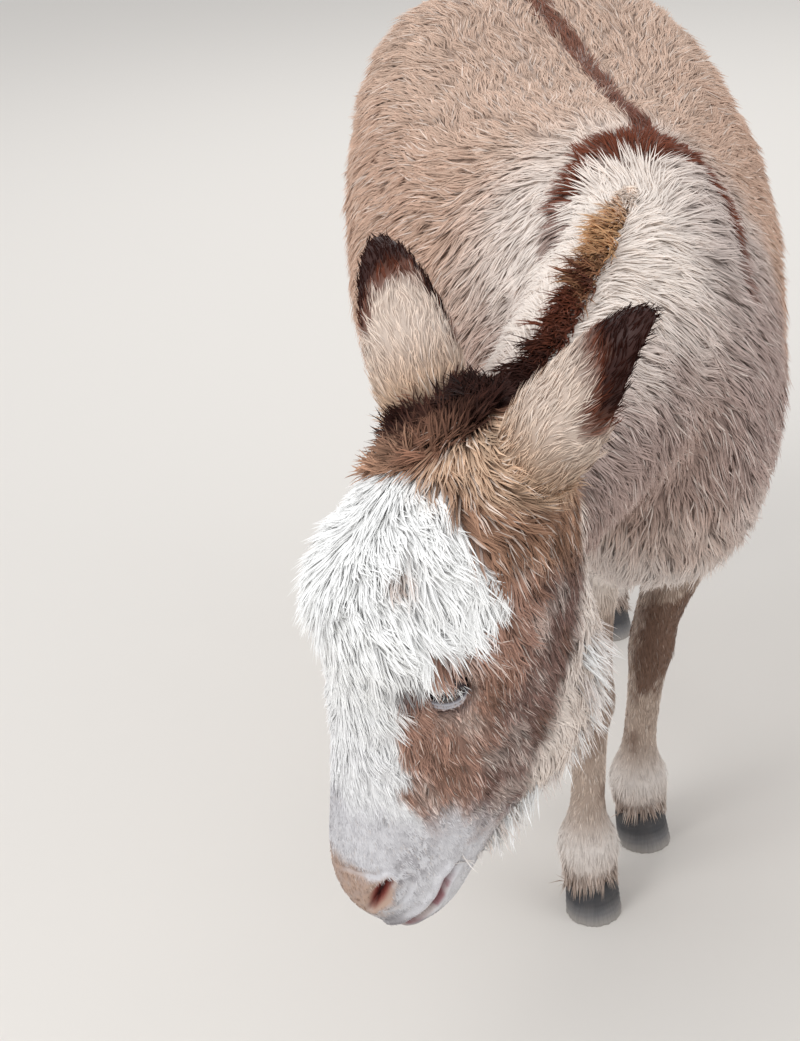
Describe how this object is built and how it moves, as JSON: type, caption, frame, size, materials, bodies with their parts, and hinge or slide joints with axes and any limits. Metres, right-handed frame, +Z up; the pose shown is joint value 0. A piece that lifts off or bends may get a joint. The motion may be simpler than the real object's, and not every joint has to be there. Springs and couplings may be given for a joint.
{
  "type": "donkey",
  "caption": "Life-size still model of a shaggy miniature donkey in winter coat, standing with its head lowered and turned to its right.",
  "frame": {"origin": "on the floor under the middle of the whole animal", "axes": "+Z up, the trunk points towards -Y with the tail towards +Y, and +X is the animal's left side"},
  "size_m": [0.6082, 1.2236, 0.9024],
  "materials": {
    "coat": "dense winter fur in overlapping tufts, rose-grey on the body, white on the face, tan to brown on cheeks, legs and ears, with a russet stripe along the back and a cross over the shoulders",
    "long_hair": "coarse long hair of the mane and tail switch, near black at the poll, golden brown towards the withers",
    "hoof": "slate-grey horn with faint growth rings and a paler, dusty lower edge",
    "eye": "wet dark brown eye, nearly black, with a clear gloss"
  },
  "bodies": {
    "root": {"trunk": "coat", "neck": "coat", "head": "coat", "ear_left": "coat", "ear_right": "coat", "foreleg_left": "coat", "foreleg_right": "coat", "hindleg_left": "coat", "hindleg_right": "coat", "mane": "long_hair", "tail": "long_hair", "forehoof_left": "hoof", "forehoof_right": "hoof", "hindhoof_left": "hoof", "hindhoof_right": "hoof", "eye_left": "eye", "eye_right": "eye"}
  },
  "joints": []
}
